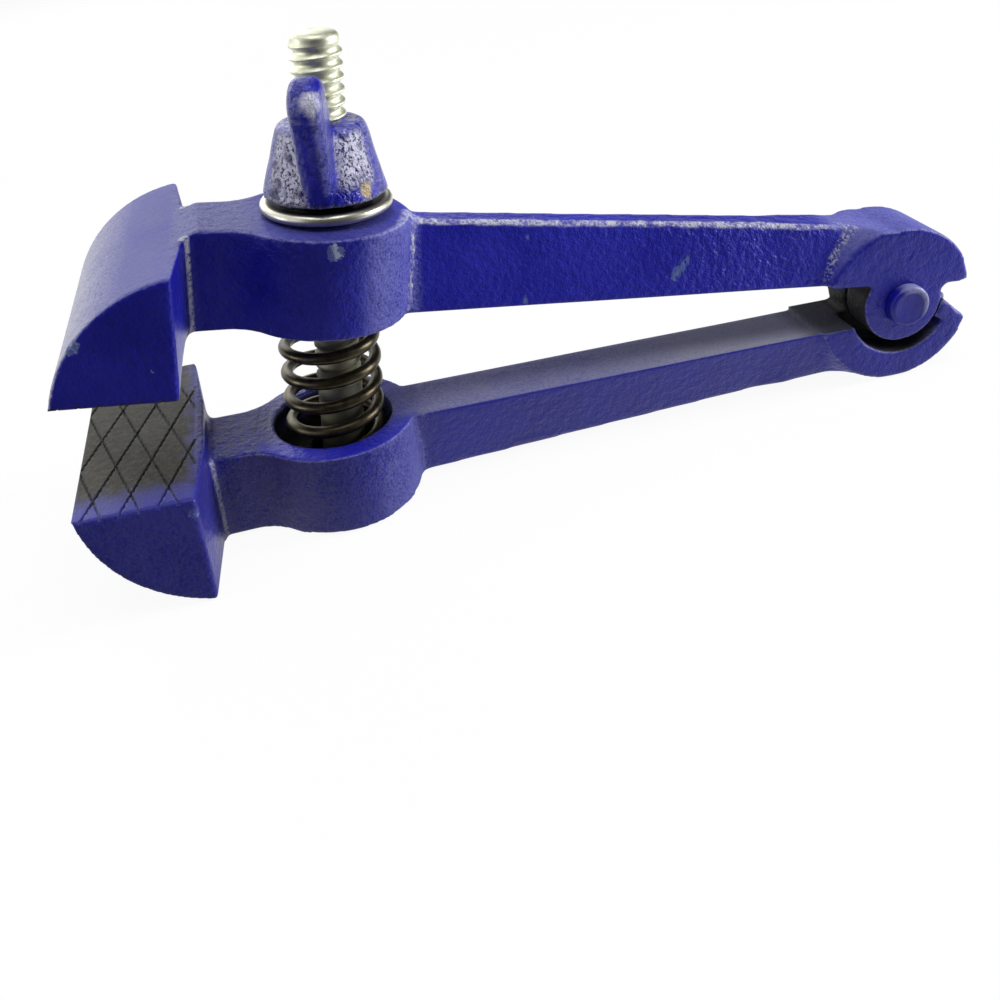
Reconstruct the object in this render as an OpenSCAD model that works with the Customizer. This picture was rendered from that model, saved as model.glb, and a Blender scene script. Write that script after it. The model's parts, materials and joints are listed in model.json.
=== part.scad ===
// Hand vise: two cast arms on a riveted half-lap hinge, opened by a spring and closed by a
// wing nut on a bolt. It stands on the lower jaw's back edge and the lower hinge head.
// Millimetres. +X runs from the jaws to the hinge, +Z is up, the origin is under the middle.

/* [Jaws] */
// Width of the jaws
jaw_w = 43; // [34:1:52]
// Depth of a jaw face, from its tip to its inner wall
jaw_depth = 17.1; // [14:0.1:19]
// Height of a jaw over its face
jaw_h = 18; // [17.4:0.1:20]
// Radius of a jaw's round back
jaw_round = 21.2; // [19:0.1:26]
// Distance from the hinge axis to the jaws' inner walls
jaw_reach = 120.1; // [119:0.1:125]

/* [Arms] */
// Angle between the jaw faces as the vise stands
open_angle = 7.4; // [4:0.1:10]
// How far necks, bosses and arms stand back from the jaw plane
inner_gap = 3.4; // [3:0.1:4.2]
// Width of the necks between jaw and boss
neck_w = 14; // [12:0.5:17]
// Radius of the hollow curve between neck and boss
neck_round = 8; // [6:0.5:8]
// Radius of the hollow corner between neck and jaw
jaw_fillet = 1.5; // [1:0.1:3.6]
// Width of an arm at its inner face
arm_w_in = 10.8; // [9:0.1:12]
// Width of an arm at its outer face
arm_w_out = 4.6; // [4:0.1:8]
// Height of the upper arm's outer face over the jaw plane, at the boss and at the hinge
upper_back = [17.8, 13.0]; // [10:0.1:19]
// Height of the lower arm's outer face below the jaw plane, at the boss and at the hinge
lower_back = [16.3, 12.5]; // [10:0.1:19]

/* [Bosses] */
// Radius of the bosses
boss_r = 13.4; // [13:0.1:14.4]
// Distance from the hinge axis to the boss centres
boss_x = 98.5; // [97.8:0.1:99.8]
// Height of the upper boss over the jaw plane
upper_boss = 19.1; // [18:0.1:21]
// Clearance of the lower boss over the ground
foot_gap = 0.35; // [0.3:0.05:0.8]
// Radius of the spring's counterbore
cbore_r = 9.6; // [9.2:0.1:10.2]
// Depth of the spring's counterbore
cbore_depth = 5; // [4.4:0.1:5.4]

/* [Hinge] */
// Width of the hinge heads
head_w = 12.5; // [11:0.1:15]
// Radius of the upper hinge head
upper_head_r = 13.4; // [12.6:0.1:14]
// Radius of the lower hinge head
lower_head_r = 14.4; // [14.2:0.1:15]
// How far the heads' round backs are centred from the hinge axis towards the jaws
head_back = 0.8; // [0:0.1:1]
// Radius of the knuckle discs
knuckle_r = 7.3; // [6.6:0.1:7.4]
// Radius of the cups round the knuckles
cup_r = 9.4; // [8.8:0.1:9.6]
// Gap between the two knuckles' meeting faces
lap_gap = 0.2; // [0.1:0.05:0.4]
// Height of the hinge heads' lower edges over the jaw plane
hood_z = 3.2; // [2.8:0.1:3.4]
// Height of a head's end over the jaw plane, where it leaves the knuckle
end_z = 3; // [2.6:0.1:3.4]
// Slope of a head's end beside the knuckle
end_slope = 4; // [0:1:12]
// Radius of the hollow corner between a head's end and its knuckle
end_round = 1.4; // [1:0.1:2]
// Height of a lobe's corner over the jaw plane
lobe_z = 0.5; // [0.5:0.1:1]
// Slope of a head's end along the lobe
lobe_slope = 42; // [36:1:48]
// Angle up to which a cup's closing lobe reaches
lobe_angle = 33; // [26:1:38]
// Gap between a knuckle and that lobe
lobe_gap = 0.2; // [0.15:0.05:0.5]
// Radius by which the arms' flare stands out from the upper head
flare_out = 0.4; // [0.2:0.1:2]
// Growth of the flare's radius for each millimetre towards the middle
flare_rate = 0.9; // [0.8:0.05:1.6]
// Diameter of the rivet's shank
rivet_d = 5.5; // [4.5:0.1:6.2]
// Diameter of the rivet's heads
rivet_head_d = 7.3; // [6.8:0.1:9]
// Height of the rivet's heads
rivet_head_h = 2.1; // [1.6:0.1:2.6]
// Height of the rim under a rivet head's dome
rivet_rim = 1.5; // [0.6:0.1:1.7]

/* [Bolt and nut] */
// Diameter of the bolt
bolt_d = 7.8; // [7:0.1:8]
// Length of the bolt, from its tilting axis to its end
bolt_len = 76.5; // [74:0.5:82]
// Chamfer of the bolt's end
bolt_chamfer = 1; // [0.6:0.1:1.4]
// Distance from the hinge axis to the bolt's tilting axis
bolt_x = 98.1; // [97.8:0.1:98.4]
// Lean of the bolt towards the hinge, beyond half of the arms' angle
bolt_lean = 0.6; // [0:0.1:1]
// How far the tilting axis lies outside the lower boss
pivot_out = 1.1; // [0.9:0.1:1.3]
// Radius of the bolt's rocking head
rocker_r = 6; // [5.6:0.1:6.2]
// Length of the bolt's rocking head
rocker_w = 14; // [12:0.5:16]
// Thickness cut off under the rocking head
rocker_flat = 2; // [1.8:0.1:2.6]
// Largest angle between the jaw faces
open_max = 13; // [12:0.1:13.2]
// Diameter of the washer
washer_d = 20; // [18:0.1:21]
// Thickness of the washer
washer_t = 1.7; // [1.2:0.1:2.2]
// Radius of the nut's cone at its foot
nut_foot_r = 9.4; // [8.8:0.1:9.6]
// Radius of the nut's cone at its top
nut_top_r = 6.5; // [6:0.1:7]
// Height of the nut's cone
nut_h = 10.7; // [9:0.1:12]
// Radius of the cone's top edge
nut_round = 1.4; // [0.8:0.1:1.8]
// Radius of the seat under the cone
seat_r = 7; // [6:0.1:7.8]
// Height of the seat under the cone
seat_h = 0.9; // [0.5:0.1:1.4]
// Thickness of the wings
wing_t = 4.9; // [4.4:0.1:6]
// Centre of a wing's round end, from the bolt axis
wing_x = 13; // [11:0.1:15]
// Height of that centre over the cone's foot
wing_z = 15.8; // [13:0.1:17]
// Radius of a wing's round end
wing_r = 4; // [3.2:0.1:4.6]
// How far the wings' roots lie inside the cone, and over its foot
wing_root = 1; // [0.6:0.1:1.6]
// Turn of the wings from straight across the arms
wing_turn = 12; // [0:1:90]

/* [Spring] */
// Diameter of the wire
wire_d = 2; // [1.6:0.1:2.2]
// Mean diameter of the coils
coil_d = 13.7; // [13.4:0.1:14.2]
// Number of turns
coil_turns = 5.25; // [4:0.25:5.5]
// Angle at which the wire starts
coil_start = 200; // [0:5:360]

/* [Fits] */
// Radial clearance of the rivet in the upper arm
run_fit = 0.05; // [0.03:0.01:0.1]
// Radial clearance of the washer on the bolt
ring_fit = 0.1; // [0.05:0.01:0.1]
// Clearance of the bolt in its slots
slot_fit = 0.35; // [0.3:0.05:0.6]
// Clearance of the bolt in the spring, on the hinge side
coil_fit = 0.2; // [0.1:0.05:0.3]
// Clearance between faces that move on each other
face_fit = 0.1; // [0.05:0.01:0.15]

/* [Hidden] */
$fn = 96;

// Standing frame: the lower jaw's back edge and the lower hinge head touch the ground
jaw_tip = jaw_reach + jaw_depth;
half_open = open_angle / 2;
corner_x = jaw_reach - head_back;
lower_angle = atan2(jaw_h, corner_x) - asin(lower_head_r / norm([corner_x, jaw_h]));
upper_angle = lower_angle + open_angle;
end_x = sqrt(pow(knuckle_r + end_round - face_fit, 2) - pow(end_z - end_round, 2));
end_dir = [cos(end_slope), sin(end_slope)];
lobe_dir = [cos(lobe_slope), sin(lobe_slope)];
end_from = [end_x + head_back, end_z];
end_dot = end_from * end_dir;
end_run = sqrt(pow(lower_head_r, 2) - end_from * end_from + pow(end_dot, 2)) - end_dot;
lower_tip = [end_x, end_z] + end_run * end_dir;
x_far = lower_tip[0] * cos(lower_angle) - lower_tip[1] * sin(lower_angle);
hinge_x = (jaw_tip * cos(lower_angle) - x_far) / 2;
hinge_z = lower_head_r - head_back * sin(lower_angle);

// Jaw back: an arc through the tip and the top of the inner wall
arc_mid = [-(jaw_reach + jaw_tip) / 2, jaw_h / 2];
arc_chord = norm([jaw_depth, jaw_h]);
arc_drop = sqrt(pow(jaw_round, 2) - pow(arc_chord / 2, 2));
arc_c = arc_mid + arc_drop / arc_chord * [jaw_h, -jaw_depth];
neck_in = jaw_depth / 6;
neck_step = jaw_depth / 9;
neck_end = -(jaw_reach + neck_in);
function arc_z(x) = arc_c[1] + sqrt(pow(jaw_round, 2) - pow(x - arc_c[0], 2));

// Neck outline: hollow curves tangent to the neck's sides, the boss and the jaw wall
curve_y = neck_w / 2 + neck_round;
curve_x = sqrt(pow(boss_r + neck_round, 2) - pow(curve_y, 2));
touch = boss_r / (boss_r + neck_round);

// Lower boss: its foot lies along the ground
function foot_z(x) = jaw_h - foot_gap - (jaw_reach + x) * tan(lower_angle);
lower_boss = foot_z(-boss_x);

// Bolt: tilting axis in the lower arm, and where the washer's edge meets the upper boss
pivot_z = lower_boss + pivot_out;
bolt_r = bolt_d / 2;
function pivot_at(a) = [pivot_z * sin(a) - bolt_x * cos(a), -pivot_z * cos(a) - bolt_x * sin(a)];
function rise_at(open) =
    let (a = open / 2, low = pivot_at(a))
    (pivot_z / cos(a) - low[0] * tan(a) - low[1]) / (cos(bolt_lean) + sin(bolt_lean) * tan(a));
function lift_at(open) =
    let (b = open / 2 - bolt_lean)
    (upper_boss - pivot_z + washer_d / 2 * abs(sin(b))) / cos(b);
function washer_at(open) = rise_at(open) + lift_at(open);
washer_z = washer_at(open_angle) + face_fit;
nut_z = washer_z + washer_t + face_fit / 2 + seat_h;
tilt_max = open_max / 2;

// Washer travel per radian of the arms, and its gaps to the boss with the jaws shut and wide open
lever = (washer_at(open_max) - washer_at(0)) / open_max * 180 / PI;
shut_gap = washer_z - open_angle * PI / 180 * lever - washer_at(0);
wide_gap = washer_z + (open_max - open_angle) * PI / 180 * lever - washer_at(open_max);

// Spring: its wire runs from the counterbore's floor to the upper boss and leans on the bolt.
// The rings lie a little outside the mean coil, so that the chords between them average to it.
wire_r = wire_d / 2;
coil_rings = 8;
wire_sides = 6;
coil_r = coil_d / (1 + cos(180 / coil_rings));
coil_bore = coil_r * cos(180 / coil_rings) - wire_r;
bolt_low = pivot_at(half_open);
bolt_back = bolt_low[0] + (inner_gap - bolt_low[1]) * tan(bolt_lean) + bolt_r;
spring_x = coil_bore - coil_fit - bolt_back;
floor_z = inner_gap + cbore_depth;
function floor_at(x) = x * tan(half_open) - floor_z / cos(half_open) + wire_r + face_fit;
function roof_at(x) = -x * tan(half_open) + inner_gap / cos(half_open) - wire_r - face_fit;
function coil_at(u) =
    let (a = coil_start + 360 * coil_turns * u, x = -spring_x + coil_r * cos(a))
    [x, coil_r * sin(a), floor_at(x) + (roof_at(x) - floor_at(x)) * u];
coil_steps = ceil(coil_turns * coil_rings);
coil_pts = [for (i = [0:coil_steps]) coil_at(i / coil_steps)];
function unit(v) = v / norm(v);
lead_in = coil_pts[0] - wire_d * unit([(coil_pts[1] - coil_pts[0])[0], (coil_pts[1] - coil_pts[0])[1], 0]);
last = coil_steps;
lead_out = coil_pts[last]
    + wire_d * unit([(coil_pts[last] - coil_pts[last - 1])[0], (coil_pts[last] - coil_pts[last - 1])[1], 0]);
wire_path = concat([lead_in], coil_pts, [lead_out]);
path_n = len(wire_path);
function wire_dir(i) = unit(wire_path[min(i + 1, path_n - 1)] - wire_path[max(i - 1, 0)]);
function wire_ring(i) =
    let (d = wire_dir(i), side = unit(cross([0, 0, 1], d)), up = cross(d, side))
    [for (k = [0:wire_sides - 1])
        wire_path[i] + wire_r * (cos(360 * k / wire_sides) * side + sin(360 * k / wire_sides) * up)];
// Least gap between two turns of the wire, from points at least half a turn apart
turn_gaps = [for (i = [0:coil_steps]) for (j = [i + coil_rings / 2:1:coil_steps])
    norm(coil_pts[i] - coil_pts[j]) - wire_d];
echo(spring_gap = min(turn_gaps));
echo(hinge = [hinge_x, hinge_z], angles = [lower_angle, upper_angle], washer_z = washer_z, nut_z = nut_z);
echo(bolt_pivot = [bolt_x, pivot_z], bolt_end = bolt_len - nut_z - nut_h, boss = lower_boss);
echo(lever = lever, shut_gap = shut_gap, wide_gap = wide_gap);

// Frames that the pieces stand in
module hinge_frame(angle) {
    translate([hinge_x, 0, hinge_z]) rotate([0, angle, 0]) children();
}

module bolt_frame() {
    hinge_frame(lower_angle)
        translate([-bolt_x, 0, -pivot_z]) rotate([0, half_open + bolt_lean, 0]) children();
}

// A side view in X and Z, as a plate from y = near to y = far
module side_plate(near, far) {
    translate([0, far, 0]) rotate([90, 0, 0]) linear_extrude(far - near) children();
}

// Shapes shared by both arms, drawn for the upper one with the hinge axis at the origin
module jaw() {
    intersection() {
        side_plate(-jaw_w / 2, jaw_w / 2)
            polygon([[-jaw_reach, 0], [-jaw_tip, 0], [-jaw_tip, 2 * jaw_h], [-jaw_reach, 2 * jaw_h]]);
        translate([arc_c[0], 0, arc_c[1]]) rotate([90, 0, 0])
            cylinder(r = jaw_round, h = 2 * jaw_w, center = true, $fn = 180);
    }
}

module neck_plan() {
    difference() {
        union() {
            translate([-boss_x, 0]) circle(boss_r);
            translate([neck_end, -neck_w / 2]) square([-neck_end - boss_x, neck_w]);
            translate([-boss_x - curve_x, -touch * curve_y])
                square([curve_x * (1 - touch), 2 * touch * curve_y]);
            translate([neck_end, -neck_w / 2 - jaw_fillet])
                square([neck_in + jaw_fillet, neck_w + 2 * jaw_fillet]);
        }
        for (side = [-1, 1]) {
            translate([-boss_x - curve_x, side * curve_y]) circle(neck_round);
            translate([jaw_fillet - jaw_reach, side * (neck_w / 2 + jaw_fillet)]) circle(jaw_fillet);
        }
    }
}

// The boss's end face runs from one height at the hinge side to another at the jaw
module neck_and_boss(far_top, near_top) {
    intersection() {
        translate([0, 0, inner_gap]) linear_extrude(near_top) neck_plan();
        side_plate(-jaw_w, jaw_w) polygon([
            [boss_r - boss_x, 0], [boss_r - boss_x, far_top], [neck_step - jaw_reach, near_top],
            [neck_end, min(near_top, arc_z(neck_end) - face_fit)], [neck_end, 0]]);
    }
}

module bar_plan(back) {
    polygon([[-boss_x, inner_gap], [-knuckle_r / 2, inner_gap], [-knuckle_r / 2, back[1]],
        [boss_r - boss_x, back[0]], [-boss_x, back[0]]]);
}

module arm_bar(back) {
    top = 1.2 * max(back);
    draft = (arm_w_in - arm_w_out) / 2 / (max(back) - inner_gap);
    half_in = arm_w_in / 2;
    half_out = half_in - draft * (top - inner_gap);
    intersection() {
        translate([-boss_x, 0, 0]) rotate([90, 0, 90]) linear_extrude(boss_x)
            polygon([[-half_in, inner_gap], [half_in, inner_gap], [half_out, top], [-half_out, top]]);
        side_plate(-head_w, head_w) bar_plan(back);
    }
}

// The arm flares to the head's width along a cone round the head's middle
module flare(back) {
    half = head_w / 2;
    wide = upper_head_r + flare_out;
    intersection() {
        side_plate(-half, half) bar_plan(back);
        translate([-head_back, 0, 0]) for (side = [-1, 1]) rotate([side * 90, 0, 0])
            cylinder(r1 = wide + flare_rate * half, r2 = wide, h = half);
    }
}

// A head's round back over its lower edge and its end
module hood_plan(head_r) {
    far = 2 * head_r;
    tip = [end_x, end_z] + far * end_dir;
    intersection() {
        translate([-head_back, 0]) circle(head_r);
        polygon([[-far, hood_z], [0, hood_z], [0, end_z], [end_x, end_z], tip, [far, 2 * far], [-far, far]]);
    }
}

// The block of a head that the cup and the slope under it leave as a lobe
module lobe_plan() {
    square([end_x + end_z, hood_z + lobe_z]);
}

module slope_plan(head_r) {
    corner = [knuckle_r, lobe_z];
    polygon([corner - knuckle_r * lobe_dir, corner + 2 * head_r * lobe_dir, [2 * head_r, -knuckle_r]]);
}

// A knuckle's disc, with the hollow corner that joins it to the head's end
module knuckle_plan() {
    mid = [end_x, end_z - end_round];
    circle(knuckle_r);
    difference() {
        polygon([[0, 0], mid, [end_x, end_z], [0, end_z]]);
        translate(mid) circle(end_round);
    }
}

module cup_plan() {
    far = 2 * cup_r * [cos(lobe_angle), sin(lobe_angle)];
    circle(knuckle_r + lobe_gap);
    difference() {
        circle(cup_r);
        polygon([[0, 0], [far[0], -far[1]], far]);
    }
}

// One casting: its knuckle lies at -Y and its cup at +Y
module casting(boss_tops, back, head_r) {
    near = -head_w / 2;
    far = head_w / 2;
    lap = -lap_gap / 2;
    difference() {
        union() {
            jaw();
            neck_and_boss(boss_tops[0], boss_tops[1]);
            arm_bar(back);
            flare(back);
            side_plate(near, far) hood_plan(head_r);
            side_plate(near, lap) knuckle_plan();
            side_plate(-lap, far) lobe_plan();
        }
        side_plate(lap, head_w) cup_plan();
        side_plate(lap, head_w) slope_plan(head_r);
    }
}

// A slot across the arm's length for the tilting bolt
module bolt_slot(from_x, to_x, from_z, to_z) {
    r = bolt_r + slot_fit;
    for (x = [from_x, to_x]) translate([x, 0, from_z]) cylinder(r = r, h = to_z - from_z);
    translate([from_x, -r, from_z]) cube([to_x - from_x, 2 * r, to_z - from_z]);
}

module rivet_hole(r) {
    rotate([90, 0, 0]) cylinder(r = r, h = 2 * head_w, center = true);
}

module upper_arm() {
    sway = (pivot_z - inner_gap) * tan(tilt_max - bolt_lean) + rise_at(open_max) * tan(bolt_lean);
    color("mediumblue") hinge_frame(upper_angle) difference() {
        casting([upper_boss, upper_boss], upper_back, upper_head_r);
        bolt_slot(-bolt_x, -bolt_x + sway, 0, 2 * upper_boss);
        rivet_hole(rivet_d / 2 + run_fit);
    }
}

module lower_arm() {
    sway = (pivot_z - floor_z) * tan(tilt_max + bolt_lean);
    color("mediumblue") hinge_frame(lower_angle) rotate([180, 0, 0]) difference() {
        casting([foot_z(boss_r - boss_x), foot_z(neck_step - jaw_reach)], lower_back, lower_head_r);
        translate([-boss_x, 0, 0]) cylinder(r = cbore_r, h = floor_z);
        bolt_slot(-bolt_x - coil_fit, -bolt_x + sway, inner_gap, 2 * lower_boss);
        translate([-bolt_x, 0, pivot_z]) rotate([90, 0, 0])
            cylinder(r = rocker_r + run_fit, h = rocker_w + 2 * slot_fit, center = true);
        rivet_hole(rivet_d / 2);
    }
}

module rivet_head() {
    dome_h = rivet_head_h - rivet_rim;
    dome_r = (pow(rivet_head_d / 2, 2) + pow(dome_h, 2)) / (2 * dome_h);
    intersection() {
        cylinder(d = rivet_head_d, h = rivet_head_h);
        translate([0, 0, rivet_head_h - dome_r]) sphere(dome_r);
    }
}

module hinge_rivet() {
    seat = head_w / 2 + face_fit;
    color("mediumblue") hinge_frame(lower_angle) {
        rotate([90, 0, 0]) cylinder(d = rivet_d, h = 2 * seat, center = true);
        translate([0, -seat, 0]) rotate([90, 0, 0]) rivet_head();
        translate([0, seat, 0]) rotate([-90, 0, 0]) rivet_head();
    }
}

module clamp_bolt() {
    straight = bolt_len - bolt_chamfer;
    color("silver") bolt_frame() {
        translate([0, 0, rocker_flat + 1]) cylinder(r = bolt_r, h = straight - rocker_flat - 1);
        translate([0, 0, straight]) cylinder(r1 = bolt_r, r2 = bolt_r - bolt_chamfer, h = bolt_chamfer);
        intersection() {
            rotate([90, 0, 0]) cylinder(r = rocker_r, h = rocker_w, center = true);
            translate([-rocker_r, -rocker_w, rocker_flat]) cube([2 * rocker_r, 2 * rocker_w, rocker_r]);
        }
    }
}

module spring() {
    rings = [for (i = [0:path_n - 1]) each wire_ring(i)];
    walls = [for (i = [0:path_n - 2]) for (k = [0:wire_sides - 1])
        let (a = i * wire_sides + k, b = i * wire_sides + (k + 1) % wire_sides)
        each [[a, b, a + wire_sides], [b, b + wire_sides, a + wire_sides]]];
    foot = [for (k = [1:wire_sides - 2]) [0, k + 1, k]];
    top = (path_n - 1) * wire_sides;
    cap = [for (k = [1:wire_sides - 2]) [top, top + k, top + k + 1]];
    color("dimgray") hinge_frame(lower_angle + half_open)
        polyhedron(rings, concat(walls, foot, cap));
}

// A washer with a round rim
module washer() {
    bore = bolt_r + ring_fit;
    rim = washer_d / 2 - washer_t / 2;
    color("gainsboro") bolt_frame() translate([0, 0, washer_z]) rotate_extrude() {
        translate([bore, 0]) square([rim - bore, washer_t]);
        translate([rim, washer_t / 2]) circle(washer_t / 2);
    }
}

// Half of the nut's cone, its top edge rounded
module cone_plan() {
    lean = atan((nut_foot_r - nut_top_r) / nut_h);
    out = [cos(lean), sin(lean)];
    mid_z = nut_h - nut_round;
    mid_x = nut_foot_r - (nut_round + out[1] * mid_z) / out[0];
    polygon([[0, 0], [nut_foot_r, 0], [mid_x, mid_z] + nut_round * out, [mid_x, nut_h], [0, nut_h]]);
    translate([mid_x, mid_z]) circle(nut_round);
}

// Where a straight line from a point touches a circle
function touch_at(p, c, r, side) =
    let (d = c - p, a = atan2(d[1], d[0]) + side * asin(r / norm(d)))
    p + sqrt(d * d - r * r) * [cos(a), sin(a)];

module wing_plan() {
    tip = [wing_x, wing_z];
    inner = nut_top_r - wing_root;
    low = [nut_foot_r - wing_root / 2, wing_root];
    high = [inner, nut_h - nut_round];
    translate(tip) circle(wing_r);
    polygon([[inner, wing_root], low, touch_at(low, tip, wing_r, -1), tip,
        touch_at(high, tip, wing_r, 1), high]);
}

module wing_nut() {
    color("mediumblue") bolt_frame() translate([0, 0, nut_z]) difference() {
        union() {
            rotate_extrude() cone_plan();
            translate([0, 0, -seat_h]) cylinder(r = seat_r, h = seat_h + 1);
            for (turn = [0, 180]) rotate([0, 0, turn - 90 - wing_turn])
                translate([0, wing_t / 2, 0]) rotate([90, 0, 0]) linear_extrude(wing_t) wing_plan();
        }
        translate([0, 0, -seat_h - 1]) cylinder(r = bolt_r + run_fit, h = nut_h + wing_z);
    }
}

upper_arm();
lower_arm();
hinge_rivet();
clamp_bolt();
spring();
washer();
wing_nut();
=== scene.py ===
import json
import math
from types import SimpleNamespace

import bmesh
import bpy
from mathutils import Matrix, Vector, noise


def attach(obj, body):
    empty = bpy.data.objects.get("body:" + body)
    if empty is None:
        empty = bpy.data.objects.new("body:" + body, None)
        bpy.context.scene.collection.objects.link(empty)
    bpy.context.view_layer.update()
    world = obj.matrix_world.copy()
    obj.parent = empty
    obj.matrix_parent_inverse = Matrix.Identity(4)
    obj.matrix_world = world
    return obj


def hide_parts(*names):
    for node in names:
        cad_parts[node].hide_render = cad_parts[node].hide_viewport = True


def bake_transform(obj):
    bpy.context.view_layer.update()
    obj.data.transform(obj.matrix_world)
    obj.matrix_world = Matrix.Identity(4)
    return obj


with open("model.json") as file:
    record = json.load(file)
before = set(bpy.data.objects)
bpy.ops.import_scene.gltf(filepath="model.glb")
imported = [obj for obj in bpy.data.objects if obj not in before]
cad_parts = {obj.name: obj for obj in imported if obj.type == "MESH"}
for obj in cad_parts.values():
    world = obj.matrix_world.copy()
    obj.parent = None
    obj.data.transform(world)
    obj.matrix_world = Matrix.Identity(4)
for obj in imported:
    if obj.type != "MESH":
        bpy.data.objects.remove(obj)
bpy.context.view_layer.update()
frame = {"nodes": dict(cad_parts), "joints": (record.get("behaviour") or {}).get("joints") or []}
mm = 0.001
joints = {joint["name"]: joint for joint in frame["joints"]}
hinge = Vector(joints["jaw_hinge"]["pos_m"])
boltFoot = Vector(joints["nut_turn"]["pos_m"])
boltAxis = Vector(joints["nut_turn"]["axis"])

# how the arms stand, in degrees about the hinge, and how far a head's middle lies back from it
stance = {"lower": 1.7253, "upper": 9.1253, "headBack": 0.8}
middle = (stance["lower"] + stance["upper"]) / 2
halfOpen = math.radians((stance["upper"] - stance["lower"]) / 2)


def turnY(degrees):
    return Matrix.Rotation(math.radians(degrees), 4, "Y")


# a casting's own frame starts at the middle of its round head: x to the hinge, z outwards, the ground face at 0
headBack = Matrix.Translation((-stance["headBack"] * mm, 0, 0))
upperFrame = Matrix.Translation(hinge) @ turnY(stance["upper"]) @ headBack
lowerFrame = Matrix.Translation(hinge) @ turnY(stance["lower"]) @ Matrix.Rotation(math.pi, 4, "X") @ headBack
middleFrame = Matrix.Translation(hinge) @ turnY(middle)
boltLean = math.degrees(math.atan2(boltAxis.x, boltAxis.z))
boltFrame = Matrix.Translation(boltFoot) @ turnY(boltLean)


# a socket that takes part in sums
class Sock:
    def __init__(self, finish, socket):
        self.finish, self.socket = finish, socket

    def calc(self, operation, first, second):
        return self.finish.add("ShaderNodeMath", {"operation": operation}, {0: first, 1: second})

    def __add__(self, other):
        return self.calc("ADD", self, other)

    def __sub__(self, other):
        return self.calc("SUBTRACT", self, other)

    def __rsub__(self, other):
        return self.calc("SUBTRACT", other, self)

    def __mul__(self, other):
        return self.calc("MULTIPLY", self, other)

    __radd__ = __add__
    __rmul__ = __mul__


# a node tree: a material's, or the world's
class Finish:
    def __init__(self, owner):
        owner.use_nodes = True
        self.owner, self.tree = owner, owner.node_tree
        self.tree.nodes.clear()

    def add(self, kind, settings=None, sockets=None, out=0):
        node = self.tree.nodes.new(kind)
        for key, value in (settings or {}).items():
            if key == "stops":
                for stop, (place, colour) in zip(node.color_ramp.elements, value):
                    stop.position, stop.color = place, colour
            else:
                setattr(node, key, value)
        for key, value in (sockets or {}).items():
            if isinstance(value, Sock):
                self.tree.links.new(value.socket, node.inputs[key])
            else:
                node.inputs[key].default_value = value
        return Sock(self, node.outputs[out]) if node.outputs else None

    def place(self, at=(0, 0, 0), turn=(0, 0, 0)):  # object coordinates in millimetres, moved and turned
        raw = self.add("ShaderNodeTexCoord", out="Object")
        sockets = {"Vector": raw, "Location": at, "Rotation": turn, "Scale": (mm, mm, mm)}
        return self.add("ShaderNodeMapping", {"vector_type": "TEXTURE"}, sockets)

    def split(self, vector):
        node = self.add("ShaderNodeSeparateXYZ", {}, {0: vector}).socket.node
        return [Sock(self, output) for output in node.outputs]

    def grain(self, vector, scale, detail=2.0, rough=0.5, warp=0.0):
        sockets = {"Vector": vector, "Scale": scale, "Detail": detail, "Roughness": rough, "Distortion": warp}
        return self.add("ShaderNodeTexNoise", {}, sockets)

    def ease(self, value, low, high, start=0.0, end=1.0):  # smooth step from low to high
        sockets = {"Value": value, 1: low, 2: high, 3: start, 4: end}
        return self.add("ShaderNodeMapRange", {"interpolation_type": "SMOOTHSTEP"}, sockets)

    def far(self, vector, point):
        return self.add("ShaderNodeVectorMath", {"operation": "DISTANCE"}, {0: vector, 1: point}, out="Value")

    def most(self, first, second):
        return self.add("ShaderNodeMath", {"operation": "MAXIMUM"}, {0: first, 1: second})

    def least(self, first, second):
        return self.add("ShaderNodeMath", {"operation": "MINIMUM"}, {0: first, 1: second})

    def size(self, value):
        return self.add("ShaderNodeMath", {"operation": "ABSOLUTE"}, {0: value})

    def root(self, value):
        return self.add("ShaderNodeMath", {"operation": "SQRT"}, {0: value})

    def tint(self, share, first, second):
        return self.add("ShaderNodeMix", {"data_type": "RGBA"}, {0: share, 6: first, 7: second}, out=2)

    def bump(self, height, distance, strength=1.0, under=None):
        sockets = {"Height": height, "Distance": distance, "Strength": strength}
        if under:
            sockets["Normal"] = under
        return self.add("ShaderNodeBump", {}, sockets)

    def close(self, **sockets):
        named = {"colour": "Base Color", "rough": "Roughness", "metal": "Metallic", "normal": "Normal", "ior": "IOR"}
        shader = self.add("ShaderNodeBsdfPrincipled", {}, {named[key]: value for key, value in sockets.items()})
        self.add("ShaderNodeOutputMaterial", {}, {"Surface": shader})
        return self.owner


def onlyVerts(geom):
    return [item for item in geom if isinstance(item, bmesh.types.BMVert)]


def onlyEdges(geom):
    return [item for item in geom if isinstance(item, bmesh.types.BMEdge)]


def makePiece(name, bm, finish, body, node):
    mesh = bpy.data.meshes.new(name)
    bm.to_mesh(mesh)
    bm.free()
    mesh.shade_smooth()
    mesh.materials.append(finish)
    piece = bpy.data.objects.new(name, mesh)
    bpy.context.scene.collection.objects.link(piece)
    if body:
        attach(piece, body)
    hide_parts(node)
    print("made", name, len(mesh.vertices), "points")
    return piece


# a copy of a bmesh as one closed skin of even squares
def reskin(bm, voxel):
    mesh = bpy.data.meshes.new("skin")
    bm.to_mesh(mesh)
    bm.free()
    piece = bpy.data.objects.new("skin", mesh)
    bpy.context.scene.collection.objects.link(piece)
    skin = piece.modifiers.new("skin", "REMESH")
    skin.mode, skin.voxel_size, skin.adaptivity = "VOXEL", voxel, 0
    bpy.context.view_layer.update()
    ready = piece.evaluated_get(bpy.context.evaluated_depsgraph_get())
    fresh = bmesh.new()
    fresh.from_mesh(ready.to_mesh())
    ready.to_mesh_clear()
    bpy.data.objects.remove(piece)
    bpy.data.meshes.remove(mesh)
    return fresh


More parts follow.
